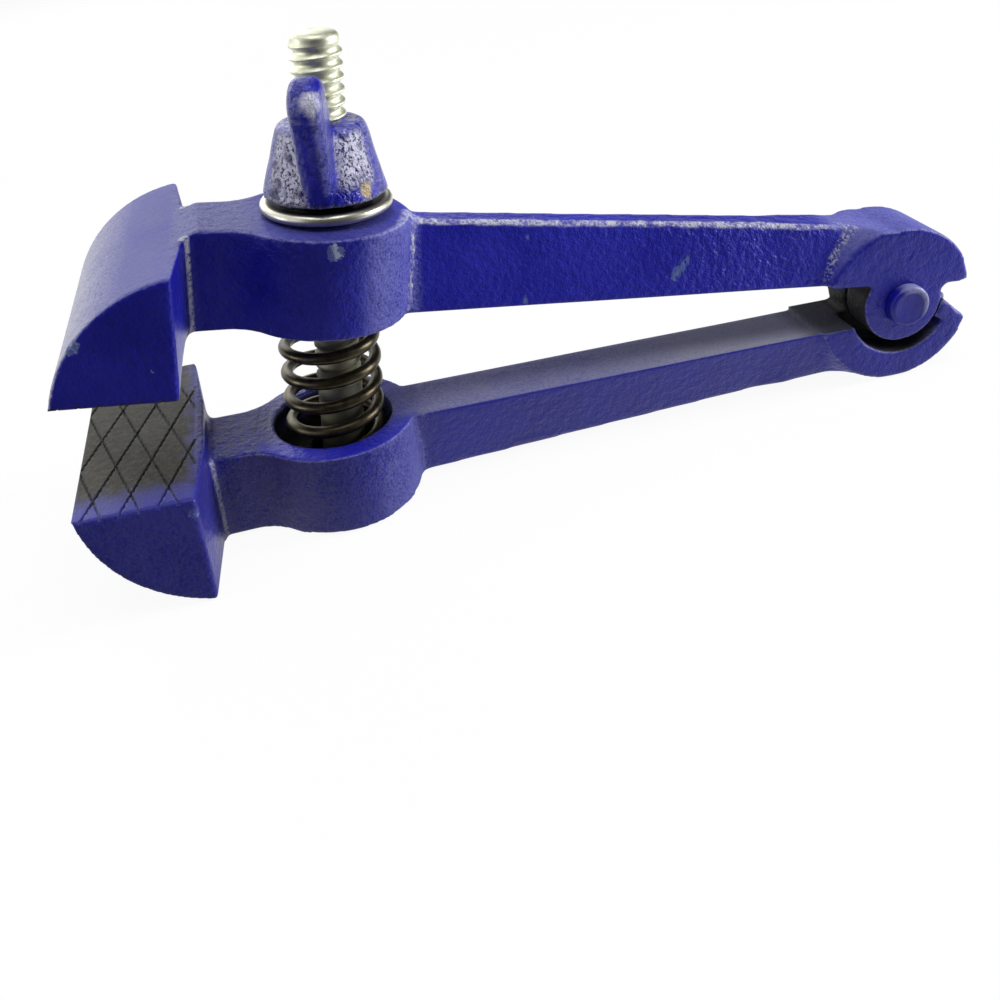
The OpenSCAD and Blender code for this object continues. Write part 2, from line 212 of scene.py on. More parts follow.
def smooth(bm, verts, rounds):
    for count in range(rounds):
        bmesh.ops.smooth_vert(bm, verts=verts, factor=0.5, use_axis_x=True, use_axis_y=True, use_axis_z=True)


# rounds the edges a little and hollow corners more; "edge" keeps how far a point moved, above 0 in a hollow
def soften(bm, rounds, hollowRounds, full, hollowFrom=0.08):
    edge = bm.verts.layers.float.new("edge")
    before = {vert: (vert.co.copy(), vert.normal.copy()) for vert in bm.verts}
    smooth(bm, bm.verts[:], rounds)
    for vert, (place, normal) in before.items():
        vert[edge] = max(-1.0, min(1.0, (vert.co - place).dot(normal) / full))
    smooth(bm, [vert for vert in bm.verts if vert[edge] > hollowFrom], hollowRounds)


# enamel blue over cast iron, and colours for painted sheen, highlights and shade
blue = {
    "deep": (0.0052, 0.0060, 0.275, 1), "fresh": (0.0140, 0.0155, 0.450, 1), "vivid": (0.020, 0.021, 0.46, 1),
    "paintedSheen": (0.46, 0.46, 0.60, 1), "grime": (0.052, 0.052, 0.078, 1), "crust": (0.70, 0.70, 0.80, 1),
    "primer": (0.33, 0.36, 0.46, 1), "scuff": (0.10, 0.15, 0.40, 1), "black": (0.0035, 0.0035, 0.0045, 1),
    "iron": (0.034, 0.032, 0.022, 1), "paleIron": (0.078, 0.073, 0.055, 1), "grooveShade": (0.004, 0.004, 0.0035, 1),
    "mistIron": (0.040, 0.042, 0.360, 1), "tan": (0.42, 0.32, 0.18, 1), "pale": (0.44, 0.45, 0.68, 1),
    "dust": (0.330, 0.335, 0.385, 1), "chip": (0.085, 0.125, 0.38, 1), "chipHighlight": (0.42, 0.47, 0.66, 1),
    "paleGlint": (0.78, 0.77, 0.97, 1), "sheenBand": (0.175, 0.180, 0.52, 1), "smoke": (0.130, 0.112, 0.180, 1),
    "shadeNavy": (0.004, 0.004, 0.045, 1), "ior": 1.42, "rough": 0.31,
}

# lengths in a casting's own frame, in millimetres
castings = {
    "voxel": 0.40 * mm, "rounds": 2, "hollowRounds": 14, "edgeFull": 0.11 * mm, "wave": 0.05 * mm, "waveAbove": 0.6,
    "waveScale": 1 / (11 * mm), "waveShift": 0.6, "reach": 119.3, "depth": 17.1, "width": 43.0, "boss": 97.7,
    "bore": 9.6, "inner": 3.4, "flareAt": 13.8, "flareRate": 0.9, "headHalf": 6.25, "axle": 0.8, "neck": 7.0,
}

# the arm's half widths at its inner and outer face, and the stretch over which the outer one is kept
arms = {"halfIn": 5.4, "halfOut": 2.3, "draft": 0.215, "start": 84.3, "long": 81.5, "from": 84.0, "fadeIn": 6.0,
        "to": 19.5, "fadeOut": 5.0, "roundSpan": (-87.0, -8.0), "roundAbove": 8.5, "rounds": 12,
        "upperBacks": (17.8, 13.0), "lowerBacks": (16.3, 12.5)}

# the lobe that closes on the other casting's knuckle, about the axle; its end rises as a share of x
lobe = {"radius": 7.41, "end": 0.155, "from": 6.8, "to": 8.0, "spread": 0.8, "above": 0.05, "floor": -0.04,
        "floorBand": 0.3, "floorFrom": 6.286, "floorTo": 7.4, "floorSpread": 0.7, "tipsFrom": 11.0, "tipsBelow": 7.5,
        "tipRounds": 10}

# the jaw: its inner wall's lean, its tip and the crossed grooves of its ground face
jaws = {"lean": 1.4, "leanReach": 8.0, "leanHigh": 5.0, "tip": 133.4, "tipGap": 0.03, "grooveStep": 5.35,
        "grooveSlope": 0.315, "grooveAt": 128.4, "grooveHalf": 0.26, "grooveDepth": 0.34, "grooveCount": range(-4, 6),
        "faceBelow": 0.16, "faceInset": 0.2, "upperStraight": 0.9, "lowerStraight": 0.0}

# how much of each kind of wear, dust, painted sheen, painted highlight and painted shade the two castings show
looks = {
    "upper": {"topDustAndSheen": (0.120, 0.124, 0.400, 1), "haze": (0.120, 0.122, 0.340, 1), "jawTop": 0.55, "armTop": 0.0,
              "headTop": 0.95, "boss": 0.06, "flank": 0.80, "arm": 0.05, "jawFront": 0.0, "neck": 0.0, "grime": 0.14,
              "neckTop": 0.30, "corner": 1.0, "bossCorner": 1.0, "ridge": 1.0, "flare": 1.0, "dust": 0.0, "spray": 0.35,
              "chip": 0.95},
    "lower": {"topDustAndSheen": (0.260, 0.260, 0.400, 1), "haze": (0.112, 0.112, 0.205, 1), "jawTop": 0.04, "armTop": 0.95,
              "headTop": 0.30, "boss": 0.42, "flank": 0.55, "arm": 0.14, "jawFront": 0.30, "neck": 0.45, "grime": 0.55,
              "neckTop": 0.0, "corner": 0.7, "bossCorner": 0.2, "ridge": 0.0, "flare": 0.0, "dust": 0.85, "spray": 1.0,
              "chip": 0.4},
}


def grooveLines():
    half = castings["width"] / 2
    for side in (-1, 1):
        for count in jaws["grooveCount"]:
            middleX = -jaws["grooveAt"] + count * jaws["grooveStep"]
            low = middleX - jaws["grooveSlope"] * half
            high = middleX + jaws["grooveSlope"] * half
            if high > -castings["reach"] - castings["depth"] and low < -castings["reach"]:
                yield Vector((middleX, 0, 0)) * mm, Vector((1, side * jaws["grooveSlope"], 0)).normalized()


# cuts the crossed grooves into a jaw's ground face, which looks down in the casting's own frame
def cutGrooves(bm):
    inside = -(castings["reach"] + jaws["faceInset"]) * mm
    faces = [face for face in bm.faces if face.calc_center_median().z < jaws["faceBelow"] * mm
             and face.normal.z < -0.9 and face.calc_center_median().x < inside]
    geom = list({vert for face in faces for vert in face.verts})
    geom += list({edge for face in faces for edge in face.edges}) + faces
    lines = list(grooveLines())
    for point, across in lines:
        for offset in (-1, 0, 1):
            place = point + across * offset * jaws["grooveHalf"] * mm
            cut = bmesh.ops.bisect_plane(bm, geom=geom, dist=0.004 * mm, plane_co=place, plane_no=across)
            geom = cut["geom"]
    for vert in onlyVerts(geom):
        nearest = min(abs((vert.co - point).dot(across)) for point, across in lines)
        if nearest < 0.02 * mm:
            vert.co.z += jaws["grooveDepth"] * mm


# the arm's outer edges and the tips beside the knuckle are rounder than the rest
def roundMore(bm):
    first, last = (end * mm for end in arms["roundSpan"])
    outer = [vert for vert in bm.verts if vert.co.z > arms["roundAbove"] * mm and first < vert.co.x < last]
    tips = [vert for vert in bm.verts if vert.co.x > lobe["tipsFrom"] * mm and vert.co.z < lobe["tipsBelow"] * mm]
    smooth(bm, outer, arms["rounds"])
    smooth(bm, tips, lobe["tipRounds"])


# the arm's outer face keeps its width towards the hinge; backs are its heights at the arm's two ends
def widenArm(bm, backs):
    taper = arms["halfIn"] - arms["halfOut"]
    for vert in bm.verts:
        x, z = vert.co.x / mm, vert.co.z / mm - castings["inner"]
        share = min(1.0, max(0.0, (x + arms["from"]) / arms["fadeIn"]), max(0.0, (-arms["to"] - x) / arms["fadeOut"]))
        if z > 0 and share > 0:
            back = backs[0] + (backs[1] - backs[0]) * (x + arms["start"]) / arms["long"] - castings["inner"]
            plain = backs[0] - castings["inner"]
            ratio = (arms["halfIn"] - taper / back * z) / (arms["halfIn"] - taper / plain * z)
            vert.co.y *= 1 + (ratio - 1) * share


# the lobe closes on the knuckle beside it, and the cup's floor stays flat there
def closeLobe(bm):
    for vert in bm.verts:
        away = Vector((vert.co.x - castings["axle"] * mm, vert.co.z))
        far = away.length
        onFloor = lobe["floorFrom"] * mm < far < lobe["floorTo"] * mm and away.x > lobe["floorSpread"] * far
        if onFloor and abs(vert.co.y) < lobe["floorBand"] * mm:
            vert.co.y = min(vert.co.y, lobe["floor"] * mm)
        onLobe = lobe["from"] * mm < far < lobe["to"] * mm and away.x > lobe["spread"] * far
        if onLobe and vert.co.y > lobe["above"] * mm:
            away *= lobe["radius"] * mm / far
            vert.co.x, vert.co.z = away.x + castings["axle"] * mm, max(away.y, lobe["end"] * away.x)


# the jaw's inner wall leans from its two ends to the neck; straight says how little it does by the ground face
def leanWall(bm, straight):
    half = castings["width"] / 2
    for vert in bm.verts:
        near = max(0.0, 1 - abs(vert.co.x / mm + castings["reach"]) / jaws["leanReach"])
        lean = jaws["lean"] * min(1.0, (half - abs(vert.co.y) / mm) / (half - castings["neck"]))
        lean *= 1 - straight * max(0.0, 1 - vert.co.z / mm / jaws["leanHigh"])
        vert.co.x += lean * near * near * (3 - 2 * near) * mm


# the jaw's tip keeps its full reach
def stretchTip(bm):
    tip = -jaws["tip"] * mm
    full = -(castings["reach"] + castings["depth"] - jaws["tipGap"]) * mm
    grow = (full - tip) / (min(vert.co.x for vert in bm.verts) - tip)
    for vert in bm.verts:
        if vert.co.x < tip:
            vert.co.x = tip + (vert.co.x - tip) * grow


# sand-cast unevenness, inwards only and not on the ground face
def sandCast(bm):
    bm.normal_update()
    for vert in bm.verts:
        if vert.co.z > castings["waveAbove"] * mm or vert.co.x > -castings["reach"] * mm:
            lift = noise.noise(vert.co * castings["waveScale"]) - castings["waveShift"]
            vert.co += vert.normal * castings["wave"] * max(-1.0, min(0.0, lift))


def castPiece(name, node, body, standing, finish, backs, straight):
    bm = bmesh.new()
    bm.from_mesh(frame["nodes"][node].data)
    bmesh.ops.remove_doubles(bm, verts=bm.verts, dist=0.001 * mm)
    bm.transform(standing.inverted())
    bm = reskin(bm, castings["voxel"])
    bm.normal_update()
    soften(bm, castings["rounds"], castings["hollowRounds"], castings["edgeFull"])
    roundMore(bm)
    widenArm(bm, backs)
    closeLobe(bm)
    leanWall(bm, straight)
    stretchTip(bm)
    sandCast(bm)
    cutGrooves(bm)
    bm.transform(standing)
    bm.normal_update()
    return makePiece(name, bm, finish, body, node)


# stretches along a casting's x, each from where it starts to where it is full
zones = {
    "arm": (-91.0, -82.0), "head": (-17.0, -11.0), "jaw": (-118.0, -121.0), "neckIn": (-120.5, -118.5),
    "neckOut": (-106.0, -110.0), "bossIn": (-119.0, -108.0), "bossOut": (-80.0, -86.0), "flankIn": (-94.5, -90.0),
    "flankOut": (-82.5, -84.0), "smokeIn": (-121.0, -117.0), "smokeOut": (-96.0, -106.0), "dust": (-62.0, -28.0),
    "paintedShade": (-19.0, -12.5), "hollowIn": (-110.0, -108.0), "hollowOut": (-60.0, -64.0), "coarse": (-55.0, -22.0),
    "ground": (-119.0, -119.6), "sprayed": (-119.0, -115.6),
}


# what a casting's paint is drawn from: places in its own frame, stretches and noises
def castFields(use, standing, degrees, over):
    spot = use.place(tuple(standing.translation), (math.pi if over else 0, math.radians(degrees), 0))
    x, y, z = use.split(spot)
    leftward, _, facing = use.split(use.add("ShaderNodeTexCoord", out="Normal"))
    at = SimpleNamespace(spot=spot, x=x, y=y, z=z, leftward=leftward, facing=facing)
    at.front = y if over else 0 - y
    at.side = use.size(y)
    at.edge = use.add("ShaderNodeAttribute", {"attribute_name": "edge"}, out="Fac")
    at.peel = use.grain(spot, 0.75, 3.0, 0.55)
    at.grit = use.grain(spot, 2.4, 2.0, 0.6)
    at.broad = use.grain(spot, 0.10, 3.0, 0.6)
    at.flecks = use.grain(spot, 1.1, 4.0, 0.7)
    at.mist = use.ease(at.grit * 0.6 + at.broad * 0.4, 0.30, 0.62)
    at.arm = use.ease(x, *zones["arm"])
    at.head = use.ease(x, *zones["head"])
    at.jaw = use.ease(x, *zones["jaw"])
    at.neck = use.ease(x, *zones["neckOut"]) * use.ease(x, *zones["neckIn"])
    at.boss = use.ease(x, *zones["bossIn"]) * use.ease(x, *zones["bossOut"])
    at.tops = use.ease(facing, 0.55, 0.97)
    return at


# blue with a dull haze and a painted sheen on what looks up, a dull haze on the fronts of boss and arm, dusty towards
# the hinge and black there as painted shade
def hazeColour(use, at, look):
    colour = use.tint(use.ease(at.broad, 0.30, 0.70) * 0.45 + at.arm * 0.5, blue["deep"], blue["fresh"])
    level = look["jawTop"] + at.arm * (look["armTop"] - look["jawTop"]) + at.head * (look["headTop"] - look["armTop"])
    fronts = 1 - at.tops
    # what looks up, and the hood's upper sides, get dust and a painted sheen, bluer on the hood
    at.haze = use.most(at.tops, use.ease(at.facing, 0.2, 0.7) * at.head) * level
    # a painted highlight band on the fronts of the boss's right flank
    at.flank = use.ease(at.x, *zones["flankIn"]) * use.ease(at.x, *zones["flankOut"]) * look["flank"]
    worn = at.head * use.ease(at.z, 8.0, 2.0) * 0.15
    at.dull = (at.boss * look["boss"] + at.arm * look["arm"] + at.jaw * look["jawFront"] + worn) * fronts
    colour = use.tint(at.haze * (0.45 + at.mist * 0.55), colour, use.tint(at.head, look["topDustAndSheen"], blue["sheenBand"]))
    colour = use.tint(at.dull * at.mist, colour, look["haze"])
    colour = use.tint(at.flank * fronts * at.mist, colour, blue["sheenBand"])
    smoke = use.ease(at.x, *zones["smokeIn"]) * use.ease(at.x, *zones["smokeOut"]) * fronts * look["neck"]
    colour = use.tint(smoke * at.mist, colour, blue["smoke"])
    # a pale painted reflection on the jaw's left-facing back, and a pale painted sheen on the neck's top
    behind = use.ease(at.leftward, -0.25, -0.85) * at.jaw * look["jawTop"] * 2.2
    paintedSheen = use.most(behind, at.neck * at.tops * look["neckTop"])
    colour = use.tint(paintedSheen * at.mist, colour, blue["paintedSheen"])
    at.dust = at.tops * use.ease(at.x, *zones["dust"]) * look["dust"]
    colour = use.tint(at.dust * use.ease(at.grit, 0.15, 0.50), colour, blue["dust"])
    # painted shade: on the lower casting, what looks up turns black near the hinge, under the upper arm
    colour = use.tint(at.tops * use.ease(at.x, *zones["paintedShade"]) * look["dust"], colour, blue["black"])
    # grey speckle on the neck and in front of the washer
    speck = use.ease(at.flecks, 0.47, 0.56) * look["grime"]
    colour = use.tint(speck * at.neck * use.most(at.tops, 0.25), colour, blue["grime"])
    pits = use.ease(use.grain(at.spot, 1.7, 3.0, 0.65), 0.40, 0.33) * at.neck * look["grime"]
    return use.tint(pits, colour, blue["deep"])


# painted highlights, speckled like pale crust, in hollow corners, along the arm's outer front edge and where the arm
# flares to the hinge
def crustColour(use, at, look, colour):
    hollow = use.ease(at.x, *zones["hollowIn"]) * use.ease(at.x, *zones["hollowOut"]) * look["bossCorner"]
    hollow = use.ease(at.edge, 0.12, 0.38) * hollow
    inX, inY = at.x + castings["reach"] - jaws["lean"], at.side - castings["neck"]
    corner = use.ease(use.root(inX * inX + inY * inY), 0.95, 0.55) * use.ease(at.z, 2.8, 3.6) * look["corner"]
    ridge = use.ease(at.facing, 0.30, 0.48) * use.ease(at.facing, 0.985, 0.93) * use.ease(at.z, 8.5, 10.0) * at.arm
    ridge = ridge * use.ease(at.front, 0.3, 0.9) * (1 - at.head) * look["ridge"]
    out = use.root(at.x * at.x + at.z * at.z) - castings["flareAt"]
    out = out - castings["flareRate"] * (castings["headHalf"] - at.side)
    off = at.side - arms["halfIn"] + (at.z - castings["inner"]) * arms["draft"]
    grains = at.flecks * 0.5 + at.grit * 0.5
    flare = use.ease(use.size(out), 0.8, 0.3) * use.ease(off, 0.9, 0.3) * at.arm * use.ease(at.z, 2.0, 9.0)
    flare = flare * use.ease(at.front, 0.5, 1.5) * use.ease(grains, 0.46, 0.58) * look["flare"]
    speckle = use.ease(grains, 0.34, 0.58)
    clouds = use.ease(use.grain(at.spot, 0.45, 4.0, 0.7), 0.34, 0.56)
    # pale painted highlights along the arm's front edge and in the boss's hollow corner
    at.soft = use.most(ridge * (0.25 + clouds * 0.75), hollow * 0.8) * (0.25 + speckle * 0.75)
    colour = use.tint(at.soft, colour, use.tint(clouds * speckle, blue["pale"], blue["crust"]))
    # brighter painted highlights in the hollows, the jaw's inner corner and the flare
    at.crust = use.most(use.most(hollow * use.ease(at.edge, 0.25, 0.5) * 0.7, corner) * speckle, flare * 0.75)
    colour = use.tint(at.crust * 0.9, colour, blue["crust"])
    rubbed = use.ease(at.edge, -0.45, -0.95) * use.ease(at.flecks, 0.57, 0.66)
    colour = use.tint(rubbed * 0.5, colour, blue["primer"])
    # a painted highlight along the convex edges of boss and head
    edgeHighlight = use.ease(at.edge, -0.25, -0.7) * use.most(at.boss, at.head) * 0.55
    return use.tint(edgeHighlight * at.mist, colour, blue["pale"])


# chips with a ragged rim, lit in flecks by a painted highlight, and thin upright scuffs on the front
def chipColour(use, at, look, chips, scuffs, colour):
    ragged = use.grain(at.spot, 1.9, 3.0, 0.6) * 1.4
    at.bare = 0.0
    for point, radius in chips:
        at.bare = use.most(use.ease(use.far(at.spot, point) + ragged, radius + 0.95, radius + 0.55), at.bare)
    lightest = use.ease(at.flecks, 0.46, 0.62)
    colour = use.tint(at.bare * look["chip"], colour, use.tint(lightest, blue["chip"], blue["chipHighlight"]))
    narrow = (1.5, 0.0, 0.8)
    squeezed = use.add("ShaderNodeVectorMath", {"operation": "MULTIPLY"}, {0: at.spot, 1: narrow})
    scuff = 0.0
    for (x, z), radius in scuffs:
        there = (x * narrow[0], 0, z * narrow[2])
        scuff = use.most(use.ease(use.far(squeezed, there) + ragged, radius + 1.0, radius + 0.45), scuff)
    return use.tint(scuff * use.ease(at.front, 1.0, 2.0) * 0.9, colour, blue["scuff"])


# black inside the hinge, as greasy bare iron and painted shade, and on the lower casting in the spring's counterbore,
# as dark paint and painted shade, with clean paint round its front
def innerShadeColour(use, at, counterbored, colour):
    fromAxle, fromBoss = at.x - castings["axle"], at.x + castings["boss"]
    # painted shade, black, in the hinge's cups
    at.inside = use.ease(use.root(fromAxle * fromAxle + at.z * at.z), 9.5, 8.9) * use.ease(at.side, 6.15, 5.8)
    if counterbored:
        away = use.root(fromBoss * fromBoss + at.y * at.y)
        rim = at.tops * use.ease(away, 14.5, 13.2) * use.ease(at.front, 3.0, 7.0)
        colour = use.tint(rim * 0.9, colour, blue["vivid"])
        bore = use.ease(away, castings["bore"] + 0.25, castings["bore"] - 0.15) * use.ease(at.z, 3.5, 4.1)
        at.inside = use.most(at.inside, bore)
    return use.tint(at.inside, colour, blue["black"])


# ground jaw face with grooves darkened as painted shade, oversprayed at its front and at the inner wall
def groundColour(use, at, look, colour):
    near = 9.0
    for way in (-1, 1):
        along = at.x + at.y * (way * jaws["grooveSlope"]) + jaws["grooveAt"]
        wrap = use.add("ShaderNodeMath", {"operation": "PINGPONG"}, {0: along, 1: jaws["grooveStep"] / 2})
        near = use.least(wrap, near)
    at.dark = use.ease(near, 0.36, 0.16)
    at.ground = use.most(use.ease(at.z, 0.30, 0.14), at.dark * use.ease(at.z, 0.60, 0.45))
    at.ground = at.ground * use.ease(at.x, *zones["ground"])
    streak = use.grain(at.spot, 0.9, 4.0, 0.65)
    iron = use.tint(use.ease(streak, 0.35, 0.75), blue["iron"], blue["paleIron"])
    fog = use.grain(at.spot, 0.35, 3.0, 0.6) * 5.0
    at.spray = use.most(use.ease(at.front + fog, 16.0, 22.5), use.ease(at.x + fog, *zones["sprayed"])) * look["spray"]
    iron = use.tint(at.spray, iron, blue["mistIron"])
    filled = use.ease(at.front + fog, 17.0, 23.5) * look["spray"] * 0.7
    # painted shade in the grooves, less where overspray fills them
    iron = use.tint(at.dark * (0.95 - filled), iron, blue["grooveShade"])
    return use.tint(at.ground, colour, iron)


# paint of a casting, drawn in its own frame: degrees about the hinge, over for the one that is turned over
def castFinish(name, standing, degrees, over, look, chips, scuffs):
    use = Finish(bpy.data.materials.new(name))
    at = castFields(use, standing, degrees, over)
    colour = hazeColour(use, at, look)
    colour = crustColour(use, at, look, colour)
    colour = chipColour(use, at, look, chips, scuffs, colour)
    colour = innerShadeColour(use, at, over, colour)
    colour = groundColour(use, at, look, colour)
    rough = blue["rough"] + (at.haze + at.dull + at.flank) * 0.35 + use.ease(at.broad, 0.3, 0.7) * 0.06
    rough = rough + at.bare * 0.25 + at.inside * 0.3
    rough = rough + at.ground * (0.22 - at.spray * 0.15) + at.neck * at.tops * look["grime"] * 0.3
    metal = at.ground * (1 - at.spray) * (1 - at.dark) * 0.35
    coarse = 1 + use.ease(at.x, *zones["coarse"]) * (1 - at.head) * look["flare"] * 0.8
    waves = at.peel * (1 - at.ground) * (1 - at.tops * at.jaw * 0.75) * (1 - at.dust * 0.85) * coarse
    height = waves + at.grit * 0.25 + (at.crust + at.soft * 0.6) * 0.35 - at.bare * 0.3
    normal = use.bump(height, 0.40 * mm, 0.85)
    return use.close(colour=colour, rough=rough, metal=metal, normal=normal, ior=blue["ior"])


# chips at a point and scuffs at x and z on the front, each with its radius
marks = {
    "upperChips": [((-97.1, -13.4, 17.3), 1.15), ((-132.5, -21.4, 9.2), 1.0), ((-122.6, -21.5, 4.9), 0.1)],
    "upperScuffs": [((-41.3, 6.9), 0.7), ((-40.6, 7.5), 0.8), ((-39.8, 8.2), 0.7), ((-39.0, 9.2), 0.5),
                    ((-66.0, 14.0), 0.35), ((-66.4, 4.4), 0.4)],
    "lowerChips": [((-119.8, 21.4, 2.4), 0.8)],
}
upperPaint = castFinish("blue enamel, upper arm", upperFrame, stance["upper"], False, looks["upper"],
                        marks["upperChips"], marks["upperScuffs"])
lowerPaint = castFinish("blue enamel, lower arm", lowerFrame, stance["lower"], True, looks["lower"],
                        marks["lowerChips"], [])
upperCasting = castPiece("upperCasting", "upper_arm", "upper_body", upperFrame, upperPaint,
                         arms["upperBacks"], jaws["upperStraight"])
lowerCasting = castPiece("lowerCasting", "lower_arm", "lower_body", lowerFrame, lowerPaint,
                         arms["lowerBacks"], jaws["lowerStraight"])

# steel: zinc on the bolt and washer, dark bronze on the spring, and a near-black for painted shade
steel = {"zinc": (0.78, 0.80, 0.63, 1), "olive": (0.30, 0.29, 0.21, 1), "spring": (0.050, 0.042, 0.024, 1),
         "worn": (0.105, 0.090, 0.053, 1), "bright": (0.64, 0.63, 0.54, 1), "paintedShade": (0.030, 0.028, 0.020, 1),
         "darkFrom": 39.0, "darkFull": 28.0, "paintedShadeBlur": 0.35}


# clean steel with soiled spots on the given share of it, olive and darker low down, with painted shade inside a radius
# about the bolt
def steelFinish(name, clean, soiled, rough, share, dent=0.03, paintedShade=0.0):
    use = Finish(bpy.data.materials.new(name))
    spot = use.place(tuple(boltFoot), (0, math.radians(boltLean), 0))
    stain = use.grain(spot, 0.45, 4.0, 0.65)
    fine = use.grain(spot, 5.0, 2.0, 0.6)
    x, y, z = use.split(spot)
    # olive stains in spots, and olive and darker low down
    stainsAndLow = use.most(use.ease(stain, 0.42, 0.72) * share, use.ease(z, steel["darkFrom"], steel["darkFull"]) * 0.9)
    colour = use.tint(stainsAndLow, clean, soiled)
    if paintedShade:
        inside = use.ease(use.root(x * x + y * y), paintedShade + steel["paintedShadeBlur"], paintedShade - steel["paintedShadeBlur"])
        colour = use.tint(inside, colour, steel["paintedShade"])
    normal = use.bump(fine, dent * mm, 0.5)
    return use.close(colour=colour, rough=rough + stainsAndLow * 0.2 + fine * 0.08, metal=1.0, normal=normal)


# turns a profile of radius and height, in millimetres, about z
def spinProfile(bm, points, steps):
    verts = [bm.verts.new((r * mm, 0, z * mm)) for r, z in points]
    edges = [bm.edges.new(pair) for pair in zip(verts, verts[1:])]
    bmesh.ops.spin(bm, geom=verts + edges, cent=(0, 0, 0), axis=(0, 0, 1), dvec=(0, 0, 0),
                   angle=2 * math.pi, steps=steps, use_merge=True)
    bmesh.ops.remove_doubles(bm, verts=bm.verts, dist=0.002 * mm)
    bmesh.ops.recalc_face_normals(bm, faces=bm.faces)


bolt = {"radius": 3.88, "root": 3.15, "shank": 3.55, "pitch": 1.8, "start": 2.6, "end": 76.44, "chamfer": 0.5,
        "threadFrom": 20.5, "runOut": 3.0, "plainEnd": 2.2, "steps": 40, "headRadius": 5.95, "headWidth": 13.8,
        "headFlat": 2.05, "headSteps": 72, "lowCrest": 3.6, "lowTo": 39.0, "crestRound": 0.12}


# the thread: one turn's profile, wound along z past both ends
def windThread(bm):
    pitch, crest, root = bolt["pitch"], bolt["radius"], bolt["root"]
    shoulder = crest - bolt["crestRound"]
    section = [(root, 0), (root, 0.14), (shoulder, 0.38), (crest, 0.46), (crest, 0.54), (shoulder, 0.62),
               (root, 0.86), (root, 1)]
    verts = [bm.verts.new((r * mm, 0, (bolt["start"] - pitch + share * pitch) * mm)) for r, share in section]
    edges = [bm.edges.new(pair) for pair in zip(verts, verts[1:])]
    turns = math.ceil((bolt["end"] - bolt["start"]) / pitch) + 2
    bmesh.ops.spin(bm, geom=verts + edges, cent=(0, 0, 0), axis=(0, 0, 1),
                   dvec=(0, 0, pitch / bolt["steps"] * mm), angle=2 * math.pi * turns, steps=bolt["steps"] * turns)
    bmesh.ops.remove_doubles(bm, verts=bm.verts, dist=0.003 * mm)


# from the even thread to the real bolt: plain shank, run-out, plain end and chamfer
def shapeThread(bm):
    for vert in bm.verts:
        z, r = vert.co.z / mm, vert.co.xy.length / mm
        share = max(0.0, min(1.0, (z - bolt["threadFrom"]) / bolt["runOut"]))
        share = share * share * (3 - 2 * share)
        wide = bolt["shank"] + (r - bolt["shank"]) * share
        if z < bolt["lowTo"]:  # worn where it stands in the spring
            wide = min(wide, bolt["lowCrest"])
        plain = max(0.0, min(1.0, z - (bolt["end"] - bolt["plainEnd"])))
        wide += (bolt["shank"] - wide) * plain
        wide -= max(0.0, z - (bolt["end"] - bolt["chamfer"]))
        vert.co.xy *= wide / r
    for height, outer in ((bolt["start"], False), (bolt["end"], True)):
        geom = bm.verts[:] + bm.edges[:] + bm.faces[:]
        cut = bmesh.ops.bisect_plane(bm, geom=geom, dist=0.001 * mm, plane_co=(0, 0, height * mm),
                                     plane_no=(0, 0, 1), clear_outer=outer, clear_inner=not outer)
        bmesh.ops.edgeloop_fill(bm, edges=onlyEdges(cut["geom_cut"]))


# the rocking head under the lower boss: a roller along y, flat below
def addHead(bm):
    before = set(bm.verts)
    bmesh.ops.create_circle(bm, cap_ends=True, segments=bolt["headSteps"], radius=bolt["headRadius"] * mm)
    ring = [vert for vert in bm.verts if vert not in before]
    bmesh.ops.transform(bm, matrix=Matrix.Translation((0, bolt["headWidth"] / 2 * mm, 0))
                        @ Matrix.Rotation(math.pi / 2, 4, "X"), verts=ring)
    disc = [face for face in bm.faces if face.verts[0] in ring]
    grown = bmesh.ops.extrude_face_region(bm, geom=disc, use_keep_orig=True)
    bmesh.ops.translate(bm, vec=(0, -bolt["headWidth"] * mm, 0), verts=onlyVerts(grown["geom"]))
    head = [vert for vert in bm.verts if vert not in before]
    parts = head + list({e for v in head for e in v.link_edges}) + list({f for v in head for f in v.link_faces})
    cut = bmesh.ops.bisect_plane(bm, geom=parts, dist=0.001 * mm, plane_co=(0, 0, bolt["headFlat"] * mm),
                                 plane_no=(0, 0, 1), clear_inner=True)
    bmesh.ops.contextual_create(bm, geom=onlyEdges(cut["geom_cut"]))


def boltPiece():
    bm = bmesh.new()
    windThread(bm)
    shapeThread(bm)
    addHead(bm)
    bmesh.ops.recalc_face_normals(bm, faces=bm.faces)
    bm.transform(boltFrame)
    finish = steelFinish("zinc, bolt", steel["zinc"], steel["olive"], 0.42, 0.45)
    return makePiece("threadedBolt", bm, finish, "bolt_body", "clamp_bolt")


boltPiece()

washer = {"bore": 4.0, "rim": 10.0, "thick": 1.7, "seat": 50.3979, "steps": 120, "rimSteps": 12, "clean": 9.0}


def washerPiece():
    bm = bmesh.new()
    half = washer["thick"] / 2
    points = [(washer["bore"], 0.0)]
    for count in range(washer["rimSteps"] + 1):
        angle = math.radians(-90 + 180 * count / washer["rimSteps"])
        points.append((washer["rim"] - half + half * math.cos(angle), half + half * math.sin(angle)))
    points += [(washer["bore"], washer["thick"]), (washer["bore"], 0.0)]
    spinProfile(bm, points, washer["steps"])
    bm.transform(boltFrame @ Matrix.Translation((0, 0, washer["seat"] * mm)))
    # the washer's top is dark inside the radius given last, painted shade from the nut above it
    finish = steelFinish("zinc, washer", steel["bright"], steel["olive"], 0.30, 0.35, 0.008, washer["clean"])
    return makePiece("roundWasher", bm, finish, "washer_body", "washer")


washerPiece()

